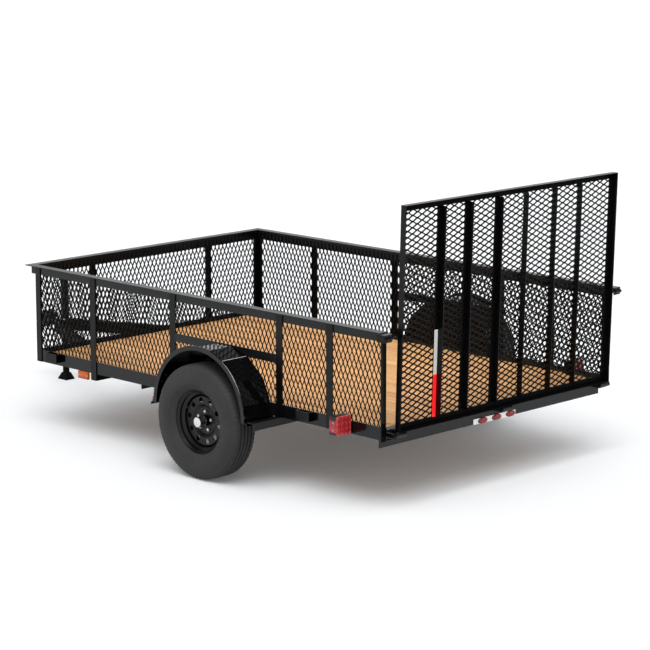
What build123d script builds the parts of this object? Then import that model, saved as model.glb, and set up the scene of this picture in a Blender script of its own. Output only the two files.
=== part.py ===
"""Single-axle utility trailer: steel angle frame, plank deck, mesh walls and a rear ramp gate.

Millimetres. X points forward along the tongue, Y to the left, Z up. While the pieces are drawn,
x = 0 is the rear face of the bed and z = 0 the ground. Each piece is moved by -origin_x when it is
written, which puts the origin on the ground under the middle of the whole trailer.
"""
from build123d import *
import math
import os

# ---- bed -------------------------------------------------------------------------------------
bed_length = 3004.0
bed_width = 1948.0
half_width = bed_width / 2
steel = 5.0
rail_height = 76.0
rail_flange = 51.0
rail_bottom = 413.0
rail_top = rail_bottom + rail_height
deck_thickness = 38.0
deck_bottom = rail_bottom + steel
deck_top = deck_bottom + deck_thickness
plank_count = 10
plank_gap = 6.0
crossmember_leg = 45.0
crossmember_xs = (403.0, 1150.0, 1697.0, 2090.0)
rear_sill_bottom = 366.0
rear_sill_top = deck_top + steel

# ---- walls -----------------------------------------------------------------------------------
wall_top = 1038.0
top_flange = 51.0
top_leg = 62.0
rail_overhang = 51.0
corner_width = 38.0
corner_foot_z = 415.0
post_width = 51.0
post_thickness = 6.0
front_post_y = 510.0
mesh_thickness = 3.0
mesh_lap = 18.0
# strand and border of each panel's lattice, and the width and height of its diamonds
strand = 12.0
mesh_border = 14.0
wall_diamond = (250.0, 183.0)
front_diamond = (190.0, 183.0)
gate_diamond = (154.0, 210.0)
mid_rail_low = 731.0
mid_rail_high = 782.0
# side posts: distance of the middle from the bed's rear face, and height of the lower end
post_rows = (
    # middle_x, foot_z
    (2455.0, 371.0),
    (1713.0, rail_bottom),
    (795.0, rail_bottom),
    (388.0, rail_bottom),
)

# ---- wheels and axle -------------------------------------------------------------------------
axle_x = 1250.0
tyre_radius = 344.5
tyre_width = 194.0
wheel_y = 1137.0
axle_z = tyre_radius
rim_radius = 190.0
bead_radius = 178.0
rim_half = 63.0
disc_y = wheel_y + 17.0
disc_thickness = 6.0
vent_count = 10
vent_circle = 124.6
vent_radius = 16.0
vent_phase = 6.8
lug_count = 5
lug_circle = 57.15
lug_phase = 22.9
axle_tube_radius = 30.0
spindle_radius = 17.5
running_gap = 0.05
hub_inner_y = 1030.0

# ---- springs ---------------------------------------------------------------------------------
spring_y = 945.0
spring_width = 45.0
leaf_thickness = 7.0
leaf_spans = (640.0, 540.0, 420.0, 290.0)
leaf_curve = 1700.0
eye_radius = 16.0
seat_thickness = 6.0

# ---- fenders ---------------------------------------------------------------------------------
fender_radius = 392.0
fender_centre_z = 406.0
fender_sheet = 3.0
fender_inner_y = half_width + post_thickness
fender_outer_y = 1202.0
fender_lip = 27.0
fender_roll = (9.0, 4.5)
fender_foot_z = 400.0
fender_foot_reach = 390.0
fender_flange = 24.0
fender_flange_drop = 13.0
# folds of the fender's sheet, the same on both sides of the axle
fender_folds = (
    # from_axle, z
    (60.0, 777.0),
    (192.0, 737.0),
    (322.0, 628.0),
    (374.0, 520.0),
)
fender_beam_x = (781.0, 832.0)
fender_beam_reach = 1199.0

# ---- tongue, coupler and jack ----------------------------------------------------------------
tongue_angle = 25.0
tongue_apex_x = 4050.0
tongue_height = 76.0
tongue_flange = 38.0
tongue_top = rail_bottom
tongue_front_x = 3960.0
tongue_rear_x = 2481.0
tongue_beam_x = (2430.0, 2481.0)
tongue_beam_height = 42.0
coupler_nose_x = 4200.0
coupler_plate_x = (3860.0, 4070.0)
coupler_half = 42.0
coupler_cavity = (4030.0, 30.0)
coupler_top = 441.0
coupler_bottom = 352.0
coupler_skin = 5.0
ball_radius = 25.4
ball_clearance = 0.6
ball_x = 4150.0
ball_z = 398.0
jack_x = 3915.0
jack_tube_radius = 28.5
jack_bore = 24.0
jack_leg_radius = 22.5
jack_tube_bottom = 300.0
jack_top_z = 700.0
jack_leg_top = 420.0
foot_half = (46.0, 40.0)
foot_height = 46.0

# ---- gate ------------------------------------------------------------------------------------
gate_half = 928.0
gate_height = 1282.0
gate_lean = 1.65
gate_angle = 38.0
gate_steel = 4.0
gate_front_x = -76.0
hinge_x = -95.0
hinge_z = 447.0
gate_foot_z = 466.0
upright_ys = (594.0, 365.0, 108.0)
hinge_ys = (905.0, 0.0, -905.0)
barrel_half = 36.0
barrel_radius = 14.0
pin_radius = 8.0
ear_thickness = 6.0
latch_x = (-99.0, -39.0)
latch_outer_y = 1041.0
latch_bottom = 989.0
latch_sheet = 4.0
latch_pin = (-104.0, 1010.0)
latch_pin_radius = 6.0
latch_sleeve_radius = 10.0
latch_gap = 7.0

# ---- lamps, pockets and latches --------------------------------------------------------------
tail_lamp_x = (212.0, 283.0)
tail_lamp_y = (half_width + post_thickness, 1093.0)
tail_lamp_z = (415.0, 527.0)
rear_lens_depth = 8.0
rear_lens_corner = 9.0
side_lens_depth = 2.0
side_lens_x = (222.0, 276.0)
side_lens_z = (433.0, 501.0)
marker_x = (2508.0, 2603.0)
marker_bottom = 366.0
clip_y = (1157.0, 1192.0)
clip_height = 30.0
pocket_wall = 5.0
pocket_depth = 38.0
pocket_length = 106.0
pocket_height = 54.0
pocket_xs = (573.0, 2833.0)
sill_lamp_ys = (105.0, -18.0, -143.0)
sill_lamp_half = 40.0
sill_lamp_depth = 16.0
sill_lamp_z = (360.0, 398.0)
tape_width = 32.0
tape_proud = 0.5
tape_heel = 594.0
tape_z = (501.0, 1006.0)

gate_reach = gate_foot_z + gate_height - hinge_z
lean_radians = math.radians(gate_lean)
gate_rear_x = (
    hinge_x
    + (gate_front_x - gate_angle - hinge_x) * math.cos(lean_radians)
    - gate_reach * math.sin(lean_radians)
)
origin_x = (coupler_nose_x + gate_rear_x) / 2

os.makedirs("parts", exist_ok=True)


# ---- drawing helpers -------------------------------------------------------------------------
def block(x, y, z):
    """A box between the low and high limits of x, y and z."""
    middle = Pos((x[0] + x[1]) / 2, (y[0] + y[1]) / 2, (z[0] + z[1]) / 2)
    return middle * Box(x[1] - x[0], y[1] - y[0], z[1] - z[0])


def bar_y(x, z, y, radius):
    """A round bar along Y at (x, z) between the limits y."""
    return Pos(x, (y[0] + y[1]) / 2, z) * Rot(90, 0, 0) * Cylinder(radius, y[1] - y[0])


def bar_z(x, y, z, radius):
    """A round bar along Z at (x, y) between the limits z."""
    return Pos(x, y, (z[0] + z[1]) / 2) * Cylinder(radius, z[1] - z[0])


def joined(pieces):
    """The pieces fused, in order."""
    whole = pieces[0]
    for piece in pieces[1:]:
        whole = whole + piece
    return whole


def lattice(size, pitch, thickness):
    """A sheet in XY, centred, with staggered diamond openings inside a plain border."""
    half_x, half_y = pitch[0] / 2, pitch[1] / 2
    to_edge = half_x * half_y / math.hypot(half_x, half_y)
    shrink = 1.0 - strand / 2 / to_edge
    tip_x, tip_y = half_x * shrink, half_y * shrink
    diamond = make_face(Polyline((-tip_x, 0), (0, -tip_y), (tip_x, 0), (0, tip_y), close=True))
    inner = Rectangle(size[0] - 2 * mesh_border, size[1] - 2 * mesh_border)
    columns = math.ceil(size[0] / pitch[0]) + 1
    rows = math.ceil(size[1] / pitch[1]) + 1
    openings = []
    for shift in ((0.0, 0.0), (half_x, half_y)):
        for place in GridLocations(pitch[0], pitch[1], columns, rows):
            opening = (Pos(shift[0], shift[1]) * place * diamond) & inner
            if opening and opening.area > strand**2:
                openings.append(opening)
    return extrude(Rectangle(*size) - openings, amount=thickness)


def right_side(shape):
    """The right-hand twin of a left-hand shape."""
    return shape.mirror(Plane.XZ)


def leaned(shape):
    """A gate piece drawn upright, leaned back about the hinge line to where it rests."""
    return Pos(hinge_x, 0, hinge_z) * Rot(0, -gate_lean, 0) * Pos(-hinge_x, 0, -hinge_z) * shape


def across(shape):
    """A shape drawn in XY, stood up across the trailer: X to the left, Y up, thickness forward."""
    return Rot(0, 0, 90) * Rot(90, 0, 0) * shape


def save(node, pieces):
    """Write one node, moved from the bed's rear face to the trailer's own origin."""
    solids = []
    for piece in pieces:
        solids.extend((Pos(-origin_x, 0, 0) * piece).solids())
    shape = solids[0] if len(solids) == 1 else Compound(children=solids)
    export_step(shape, f"parts/{node}.step")


def save_pair(name, pieces):
    """Write a left-hand node and its mirrored right-hand node."""
    save(f"{name}_left", pieces)
    save(f"{name}_right", [right_side(piece) for piece in pieces])


def save_both(name, pieces):
    """Write one node that holds the left-hand pieces and their mirrored twins."""
    save(name, pieces + [right_side(piece) for piece in pieces])


# ---- bed -------------------------------------------------------------------------------------
def side_rail():
    """Rail of the bed, run on past the rear sill to carry the corner post."""
    whole = (-rail_overhang, bed_length)
    pieces = [block(whole, (half_width - steel, half_width), (rail_bottom, rail_top))]
    for span in ((-rail_overhang, 0.0), (steel, bed_length)):
        flange = (half_width - rail_flange, half_width)
        pieces.append(block(span, flange, (rail_bottom, deck_bottom)))
    return joined(pieces)


def front_sill():
    inner = half_width - steel
    web = block((bed_length - steel, bed_length), (-inner, inner), (deck_bottom, rail_top))
    reach = half_width - rail_flange
    shelf = block((bed_length - rail_flange, bed_length), (-reach, reach), (rail_bottom, deck_bottom))
    return web + shelf


def rear_sill():
    """Deep sill under the gate, its top flange folded over the plank ends."""
    inner = half_width - steel
    web_low = block((0, steel), (-half_width, half_width), (rear_sill_bottom, rail_bottom))
    web_high = block((0, steel), (-inner, inner), (rail_bottom, rear_sill_top))
    lid = block((0, rail_flange), (-inner, inner), (deck_top, rear_sill_top))
    return joined([web_low, web_high, lid])


def deck_crossmembers():
    reach = half_width - rail_flange
    bars = []
    for middle in crossmember_xs:
        low = middle - rail_flange / 2
        shelf = block((low, low + rail_flange), (-reach, reach), (rail_bottom, deck_bottom))
        leg = block((low, low + steel), (-reach, reach), (rail_bottom - crossmember_leg, deck_bottom))
        bars.append(shelf + leg)
    return bars


def tongue_beam():
    """Channel under the rails that carries the rear ends of the tongue."""
    low, high = tongue_beam_x
    top, bottom = rail_bottom, rail_bottom - tongue_beam_height
    web = block((low, low + steel), (-half_width, half_width), (bottom, top))
    lid = block((low, high), (-half_width, half_width), (top - steel, top))
    base = block((low, high), (-half_width, half_width), (bottom, bottom + steel))
    return joined([web, lid, base])


def fender_beam():
    """Angle under the rails behind the wheels, run out on both sides to the fenders' width."""
    low, high = fender_beam_x
    reach = (-fender_beam_reach, fender_beam_reach)
    leg = block((low, low + steel), reach, (rail_bottom - crossmember_leg, rail_bottom))
    shelf = block((low, high), reach, (rail_bottom - steel, rail_bottom))
    return leg + shelf


def planks():
    inner = half_width - steel - 2.0
    pitch = (2 * inner + plank_gap) / plank_count
    boards = []
    for index in range(plank_count):
        low = -inner + index * pitch
        span = (low, low + pitch - plank_gap)
        boards.append(block((steel, bed_length - steel), span, (deck_bottom, deck_top)))
    return boards


# ---- walls -----------------------------------------------------------------------------------
def side_top_rail():
    span = (-rail_overhang, bed_length + top_flange)
    leg = block(span, (half_width - steel, half_width), (wall_top - top_leg, wall_top))
    lid = block(span, (half_width - steel, half_width + top_flange), (wall_top - steel, wall_top))
    return leg + lid


def front_top_rail():
    reach = half_width - steel
    leg = block((bed_length - steel, bed_length), (-reach, reach), (wall_top - top_leg, wall_top))
    lid = block(
        (bed_length - steel, bed_length + top_flange),
        (-reach, reach),
        (wall_top - steel, wall_top),
    )
    return leg + lid


def side_posts():
    """Flat posts outside the left rail, with angle posts at the front and rear corners."""
    outside = (half_width, half_width + post_thickness)
    under_lid = wall_top - steel
    posts = []
    for middle, foot in post_rows:
        span = (middle - post_width / 2, middle + post_width / 2)
        posts.append(block(span, outside, (foot, under_lid)))
    front_face = block((bed_length - corner_width, bed_length), outside, (rail_bottom, under_lid))
    front_turn = block(
        (bed_length, bed_length + post_thickness),
        (half_width - corner_width, half_width + post_thickness),
        (rail_bottom, wall_top - top_leg),
    )
    posts.append(front_face + front_turn)
    rear_face = block((-rail_overhang, corner_width - rail_overhang), outside, (rail_bottom, under_lid))
    rear_turn = block(
        (-rail_overhang, post_thickness - rail_overhang),
        (half_width, half_width + corner_width),
        (corner_foot_z, under_lid - steel),
    )
    posts.append(rear_face + rear_turn)
    return posts


def front_posts():
    outside = (bed_length, bed_length + post_thickness)
    posts = []
    for middle in (front_post_y, -front_post_y):
        span = (middle - post_width / 2, middle + post_width / 2)
        posts.append(block(outside, span, (rail_bottom, wall_top - steel)))
    return posts


def mid_rail():
    """Bar above the wheel that ties the two posts beside the fender."""
    rear = post_rows[2][0] + post_width / 2
    front = post_rows[1][0] - post_width / 2
    outside = (half_width, half_width + post_thickness)
    return block((rear, front), outside, (mid_rail_low, mid_rail_high))


def side_mesh():
    span = (3.0 - rail_overhang, bed_length - steel - mesh_thickness - 1.0)
    low, high = rail_top - mesh_lap, wall_top - mesh_lap
    sheet = lattice((span[1] - span[0], high - low), wall_diamond, mesh_thickness)
    middle = Pos((span[0] + span[1]) / 2, half_width - steel, (low + high) / 2)
    return middle * Rot(90, 0, 0) * sheet


def front_mesh():
    reach = half_width - steel - mesh_thickness - 1.0
    low, high = rail_top - mesh_lap, wall_top - mesh_lap
    sheet = lattice((2 * reach, high - low), front_diamond, mesh_thickness)
    middle = Pos(bed_length - steel - mesh_thickness, 0, (low + high) / 2)
    return middle * across(sheet)


# ---- running gear ----------------------------------------------------------------------------
def turned(points):
    """A solid of revolution about the left wheel's axis from (radius, y) corners."""
    face = make_face(Polyline(*points, close=True))
    return Pos(axle_x, 0, axle_z) * revolve(face, Axis.Y)


def tyre():
    """Section of a road tyre: bulged side walls, round shoulders and a flat tread."""
    tread = (tyre_radius, 66.5)
    round_off = (335.0, 78.5)
    shoulder = (318.0, 84.5)
    bulge = (262.0, tyre_width / 2)
    bead_top = (rim_radius + 2.0, 67.0)
    bead_edge = (rim_radius + 2.0, 56.0)
    seat = (bead_radius + 4.5, 53.0)
    outline = []
    for side in (1, -1):
        corners = []
        for radius, half in (tread, round_off, shoulder, bulge, bead_top, bead_edge, seat):
            corners.append((radius, wheel_y + side * half))
        outline.append(ThreePointArc(corners[0], corners[1], corners[2]))
        outline.append(ThreePointArc(corners[2], corners[3], corners[4]))
        outline.append(Polyline(corners[4], corners[5], corners[6]))
    for radius, half in (tread, seat):
        outline.append(Line((radius, wheel_y - half), (radius, wheel_y + half)))
    return Pos(axle_x, 0, axle_z) * revolve(make_face(outline), Axis.Y)


def rim():
    """Rim with its dished disc, round vents and centre hole."""
    seat = bead_radius + 3.5
    inside = bead_radius - 2.0
    well, well_inside = 165.0, 159.0
    barrel = turned(
        [
            (rim_radius, wheel_y + rim_half),
            (rim_radius, wheel_y + rim_half - 5.0),
            (seat, wheel_y + 54.0),
            (seat, wheel_y + 33.0),
            (well, wheel_y + 20.0),
            (well, wheel_y - 8.0),
            (seat, wheel_y - 27.0),
            (seat, wheel_y - 54.0),
            (rim_radius, wheel_y - rim_half + 5.0),
            (rim_radius, wheel_y - rim_half),
            (inside, wheel_y - 49.0),
            (inside, wheel_y - 29.0),
            (well_inside, wheel_y - 10.0),
            (well_inside, wheel_y + 22.0),
            (inside, wheel_y + 35.0),
            (inside, wheel_y + 49.0),
        ]
    )
    disc = turned(
        [
            (34.0, disc_y - 16.0),
            (80.0, disc_y - 16.0),
            (100.0, disc_y),
            (146.0, disc_y),
            (159.0, disc_y - 14.0),
            (159.5, disc_y - 30.0),
            (153.0, disc_y - 30.0),
            (152.0, disc_y - 17.0),
            (142.0, disc_y - disc_thickness),
            (102.0, disc_y - disc_thickness),
            (82.0, disc_y - 16.0 - disc_thickness),
            (34.0, disc_y - 16.0 - disc_thickness),
        ]
    )
    for index in range(vent_count):
        angle = math.radians(vent_phase + index * 360.0 / vent_count)
        x = axle_x + vent_circle * math.cos(angle)
        z = axle_z + vent_circle * math.sin(angle)
        disc = disc - bar_y(x, z, (disc_y - 30.0, disc_y + 30.0), vent_radius)
    return barrel + disc


def hub():
    """Hub with its bearing bore, wheel nuts and grease cap."""
    face_y = disc_y - 16.0 - disc_thickness
    bore = spindle_radius + running_gap
    body = turned(
        [
            (bore, hub_inner_y),
            (44.0, hub_inner_y),
            (44.0, face_y - 10.0),
            (74.0, face_y - 10.0),
            (74.0, face_y),
            (33.5, face_y),
            (33.5, face_y + 30.0),
            (31.0, face_y + 75.0),
            (28.0, face_y + 80.0),
            (0.0, face_y + 80.0),
            (0.0, face_y + 60.0),
            (bore, face_y + 60.0),
        ]
    )
    pieces = [body]
    for index in range(lug_count):
        angle = math.radians(lug_phase + index * 360.0 / lug_count)
        x = axle_x + lug_circle * math.cos(angle)
        z = axle_z + lug_circle * math.sin(angle)
        nut = Pos(x, disc_y - 16.0 + 9.0, z) * Rot(90, 0, 0)
        pieces.append(nut * extrude(RegularPolygon(11.0, 6), amount=9.0, both=True))
    return pieces


def axle():
    """Axle tube, spring seats and spindles."""
    tube_end = hub_inner_y - 6.0
    tube = bar_y(axle_x, axle_z, (-tube_end, tube_end), axle_tube_radius)
    pieces = [tube]
    spindle_end = disc_y + 20.0
    for side in (1, -1):
        ends = sorted((side * (tube_end - 1.0), side * spindle_end))
        pieces.append(bar_y(axle_x, axle_z, ends, spindle_radius))
    return joined(pieces)


def spring():
    """Leaf pack slung under the axle, with its eyes."""
    width = (spring_y - spring_width / 2, spring_y + spring_width / 2)
    top = axle_z - axle_tube_radius - seat_thickness
    pack = []
    for index, span in enumerate(leaf_spans):
        upper = leaf_curve + index * leaf_thickness
        centre_z = top + leaf_curve
        ring = Circle(upper + leaf_thickness) - Circle(upper)
        window = Pos(0, -upper, 0) * Rectangle(span, 400.0)
        sheet = extrude(ring & window, amount=spring_width / 2, both=True)
        pack.append(Pos(axle_x, spring_y, centre_z) * Rot(90, 0, 0) * sheet)
    drop = leaf_curve - math.sqrt(leaf_curve**2 - (leaf_spans[0] / 2) ** 2)
    for side in (1, -1):
        x = axle_x + side * (leaf_spans[0] / 2 + 2.0)
        pack.append(bar_y(x, top + drop + 8.0, width, eye_radius))
    return joined(pack)


def spring_eye_z():
    top = axle_z - axle_tube_radius - seat_thickness
    return top + leaf_curve - math.sqrt(leaf_curve**2 - (leaf_spans[0] / 2) ** 2) + 8.0


def spring_clamp():
    """Seat between axle and spring, and the plate that the U-bolts draw up."""
    width = (spring_y - 34.0, spring_y + 34.0)
    length = (axle_x - 45.0, axle_x + 45.0)
    seat_top = axle_z - axle_tube_radius
    pack_bottom = seat_top - seat_thickness - len(leaf_spans) * leaf_thickness
    seat = block(length, (spring_y - 22.5, spring_y + 22.5), (seat_top - seat_thickness, seat_top))
    seat = seat - bar_y(axle_x, axle_z, width, axle_tube_radius) - spring()
    tie = block(length, width, (pack_bottom - 8.5, pack_bottom - 0.5))
    pieces = [seat, tie]
    for y in (spring_y - 28.5, spring_y + 28.5):
        outer = bar_y(axle_x, axle_z, (y - 5.0, y + 5.0), axle_tube_radius + 10.3)
        inner = bar_y(axle_x, axle_z, (y - 6.0, y + 6.0), axle_tube_radius + 0.3)
        above = block((axle_x - 60.0, axle_x + 60.0), (y - 6.0, y + 6.0), (axle_z, axle_z + 60.0))
        bolt = (outer - inner) & above
        for side in (1, -1):
            x = axle_x + side * (axle_tube_radius + 5.3)
            bolt = bolt + block((x - 5.0, x + 5.0), (y - 5.0, y + 5.0), (pack_bottom - 8.5, axle_z))
        pieces.append(bolt)
    bolts_and_tie = joined(pieces[1:])
    return [seat, bolts_and_tie]


def hangers():
    """Cheek plates that hold each spring eye under the rail, with their bolts."""
    pieces = []
    eye_z = spring_eye_z()
    for side in (1, -1):
        x = axle_x + side * (leaf_spans[0] / 2 + 2.0)
        span = (x - 20.0, x + 20.0)
        inner = spring_width / 2 + 0.5
        cheeks = []
        for cheek in (1, -1):
            near = spring_y + cheek * inner
            far = spring_y + cheek * (inner + 4.0)
            cheeks.append(block(span, sorted((near, far)), (eye_z - 22.0, rail_bottom)))
        roof = block(span, (spring_y - inner, spring_y + inner), (rail_bottom - 5.0, rail_bottom))
        pieces.append(joined(cheeks + [roof]))
    return pieces


def arch(radius, y):
    """A round-topped arch with straight feet, filled, between the limits y."""
    profile = Circle(radius) & (Pos(0, radius / 2) * Rectangle(2 * radius, radius))
    drop = fender_centre_z - fender_foot_z
    profile = profile + Pos(0, -drop / 2) * Rectangle(2 * radius, drop)
    solid = extrude(profile, amount=y[1] - y[0])
    return Pos(axle_x, y[1], fender_centre_z) * Rot(90, 0, 0) * solid


def folded(inset, y, foot_z):
    """The fender sheet's folded outline drawn in by inset, filled down to foot_z, between y limits."""
    shrink = 1.0 - inset / fender_radius
    corners = []
    for from_axle, z in fender_folds:
        corners.append((from_axle * shrink, (z - fender_centre_z) * shrink))
    corners.append((fender_foot_reach - inset, foot_z - fender_centre_z))
    mirrored = [(-x, z) for x, z in reversed(corners)]
    solid = extrude(make_face(Polyline(*mirrored, *corners, close=True)), amount=y[1] - y[0])
    return Pos(axle_x, y[1], fender_centre_z) * Rot(90, 0, 0) * solid


def fender():
    """Fender of folded sheet: a back plate, a round rolled-edge ring outside and flanged feet."""
    cut = (half_width - 5.0, fender_outer_y + 5.0)
    hollow = folded(fender_sheet, cut, fender_foot_z - 5.0)
    sheet = folded(0.0, (fender_inner_y, fender_outer_y), fender_foot_z) - hollow
    back = folded(0.0, (fender_inner_y, fender_inner_y + fender_sheet), fender_foot_z)
    ring_span = (fender_outer_y - fender_sheet, fender_outer_y)
    ring = arch(fender_radius, ring_span) - arch(fender_radius - fender_lip, cut)
    roll_span = (fender_outer_y - fender_roll[0], fender_outer_y)
    roll = arch(fender_radius, roll_span) - arch(fender_radius - fender_roll[1], cut)
    to_rail = (half_width, fender_inner_y)
    beside_rail = block((axle_x - fender_radius, axle_x + fender_radius), to_rail, (rail_bottom, rail_top))
    feet = (folded(0.0, to_rail, fender_foot_z) - hollow) & beside_rail
    pieces = [sheet, back, ring, roll, feet]
    for side in (1, -1):
        near = axle_x + side * (fender_foot_reach - fender_sheet)
        far = axle_x + side * (fender_foot_reach + fender_flange)
        flange_z = (fender_foot_z, fender_foot_z + fender_sheet)
        drop_z = (fender_foot_z - fender_flange_drop, fender_foot_z + fender_sheet)
        width = (fender_inner_y, fender_outer_y)
        pieces.append(block(sorted((near, far)), width, flange_z))
        pieces.append(block(sorted((far - side * fender_sheet, far)), width, drop_z))
    return joined(pieces)


# ---- tongue, coupler and jack ----------------------------------------------------------------
def tongue_leg():
    """Left leg of the A-frame, a channel that runs back under the bed to the tongue beam."""
    slope = math.tan(math.radians(tongue_angle))
    cos_a = math.cos(math.radians(tongue_angle))
    long = 2400.0
    bottom = tongue_top - tongue_height
    web = block((-long, 0), (tongue_flange - steel, tongue_flange), (bottom, tongue_top))
    lid = block((-long, 0), (0, tongue_flange), (tongue_top - steel, tongue_top))
    base = block((-long, 0), (0, tongue_flange), (bottom, bottom + steel))
    start_y = (tongue_apex_x - coupler_nose_x) * slope
    channel = joined([web, lid, base])
    shift = tongue_flange / 2 / cos_a
    placed = Pos(coupler_nose_x, start_y - shift, 0) * Rot(0, 0, -tongue_angle) * channel
    keep = block((tongue_rear_x, tongue_front_x), (0.5, half_width), (bottom, tongue_top))
    return placed & keep


def coupler():
    """Pressed coupler: a hollow nose over the ball and a plate across the tongue's apex."""
    slope = math.tan(math.radians(tongue_angle))
    rear, front = coupler_plate_x
    half_back = (tongue_apex_x - rear) * slope + 16.0
    corners = [(rear, -half_back), (rear, half_back), (front, coupler_half), (front, -coupler_half)]
    top_plate = Pos(0, 0, tongue_top) * extrude(make_face(Polyline(*corners, close=True)), coupler_skin)
    shell_rear = front - 30.0
    height = (coupler_bottom, coupler_top)
    below = coupler_bottom - 8.0
    nose_x = coupler_nose_x - coupler_half
    shell = block((shell_rear, nose_x), (-coupler_half, coupler_half), height)
    nose = bar_z(nose_x, 0, height, coupler_half)
    cavity_rear, cavity_half = coupler_cavity
    cavity = block((cavity_rear, ball_x - 40.0), (-cavity_half, cavity_half), (below, tongue_top - 6.0))
    socket = Pos(ball_x, 0, ball_z) * Sphere(ball_radius + ball_clearance)
    throat = bar_z(ball_x, 0, (below, ball_z), ball_radius + ball_clearance)
    body = joined([shell, nose]) - socket - throat - cavity
    through = (tongue_top - 13.0, tongue_top + 17.0)
    jack_hole = bar_z(jack_x, 0, through, jack_tube_radius + 0.2)
    under_shell = block((shell_rear, front + 30.0), (-60.0, 60.0), through)
    return (top_plate - under_shell - jack_hole) + body


def coupler_latch():
    """Folding latch lever on top of the coupler."""
    lever = block((4062.0, 4150.0), (-9.0, 9.0), (coupler_top + 0.5, coupler_top + 12.0))
    handle = block((4050.0, 4066.0), (-9.0, 9.0), (coupler_top + 0.5, coupler_top + 34.0))
    return lever + handle


def jack_housing():
    """Outer jack tube through the coupler plate, with its flange and cap."""
    tube = bar_z(jack_x, 0, (jack_tube_bottom, jack_top_z), jack_tube_radius)
    bore = bar_z(jack_x, 0, (jack_tube_bottom - 5.0, jack_top_z - 40.0), jack_bore)
    flange_low = tongue_top + coupler_skin
    flange = block((jack_x - 50.0, jack_x + 50.0), (-50.0, 50.0), (flange_low, flange_low + 8.0))
    cap = bar_z(jack_x, 0, (jack_top_z, jack_top_z + 16.0), jack_tube_radius + 4.0)
    return (tube + flange + cap) - bore


def jack_crank():
    """Cranked handle on the cap of the jack."""
    low = jack_top_z + 16.0
    stem = bar_z(jack_x, 0, (low, low + 24.0), 8.0)
    arm = block((jack_x - 8.0, jack_x + 8.0), (-8.0, 120.0), (low + 14.0, low + 24.0))
    grip = bar_z(jack_x, 112.0, (low + 24.0, low + 110.0), 12.0)
    return joined([stem, arm, grip])


def jack_leg():
    """Inner leg with its flared foot on the ground."""
    leg = bar_z(jack_x, 0, (foot_height - 4.0, jack_leg_top), jack_leg_radius)
    base = Pos(jack_x, 0, 0) * Rectangle(2 * foot_half[0], 2 * foot_half[1])
    crown = Pos(jack_x, 0, foot_height) * Rectangle(44.0, 44.0)
    flare = loft([base, crown])
    return leg + flare


# ---- gate ------------------------------------------------------------------------------------
def gate_frame():
    """Angle frame with its flanges against the mesh and its legs pointing rearward."""
    front = gate_front_x
    back = gate_front_x - gate_angle
    low, high = gate_foot_z, gate_foot_z + gate_height
    pieces = []
    for side in (1, -1):
        edge = sorted((side * gate_half, side * (gate_half - gate_steel)))
        flange = sorted((side * gate_half, side * (gate_half - gate_angle)))
        pieces.append(block((back, front), edge, (low, high)))
        pieces.append(block((front - gate_steel, front), flange, (low, high)))
    width = (-gate_half, gate_half)
    pieces.append(block((back, front), width, (high - gate_steel, high)))
    pieces.append(block((front - gate_steel, front), width, (high - gate_angle, high)))
    pieces.append(block((back, front), width, (low, low + gate_steel)))
    pieces.append(block((front - gate_steel, front), width, (low, low + gate_angle)))
    return leaned(joined(pieces))


def gate_uprights():
    """Angles between the frame's top and bottom bars, their flanges turned outward."""
    front = gate_front_x
    low = gate_foot_z + gate_angle
    high = gate_foot_z + gate_height - gate_angle
    bars = []
    for side in (1, -1):
        for heel in upright_ys:
            web = sorted((side * heel, side * (heel + gate_steel)))
            flange = sorted((side * heel, side * (heel + gate_angle)))
            leg = block((front - gate_angle, front), web, (low, high))
            face = block((front - gate_steel, front), flange, (low, high))
            bars.append(leaned(leg + face))
    return bars


def gate_mesh():
    edge = 6.0
    sheet = lattice((2 * (gate_half - edge), gate_height - 2 * edge), gate_diamond, mesh_thickness)
    middle = Pos(gate_front_x, 0, gate_foot_z + gate_height / 2)
    return leaned(middle * across(sheet))


def gate_tape():
    """Reflective strip stuck on the rear face of the left-most upright."""
    face = gate_front_x - gate_steel
    low = tape_heel + gate_steel + 3.0
    span = (low, low + tape_width - 4.0)
    return leaned(block((face - tape_proud, face), span, tape_z))


def gate_barrels():
    """Hinge barrels under the gate's bottom bar."""
    barrels = []
    for y in hinge_ys:
        span = (y - barrel_half, y + barrel_half)
        barrel = bar_y(hinge_x, hinge_z, span, barrel_radius)
        web = block((hinge_x - 5.0, hinge_x + 5.0), span, (hinge_z, gate_foot_z))
        bore = bar_y(hinge_x, hinge_z, (span[0] - 1.0, span[1] + 1.0), pin_radius + running_gap)
        barrels.append(leaned((barrel + web) - bore))
    return barrels


def gate_hinges():
    """Ears on the rear sill with the pins that carry the gate's barrels."""
    hinges = []
    for y in hinge_ys:
        parts = [bar_y(hinge_x, hinge_z, (y - barrel_half - 12.0, y + barrel_half + 12.0), pin_radius)]
        for side in (1, -1):
            near = y + side * (barrel_half + 1.0)
            far = y + side * (barrel_half + 1.0 + ear_thickness)
            span = sorted((near, far))
            parts.append(bar_y(hinge_x, hinge_z, span, barrel_radius))
            parts.append(block((hinge_x, 0), span, (hinge_z - barrel_radius, hinge_z + 10.0)))
        hinges.append(joined(parts))
    return hinges


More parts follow.
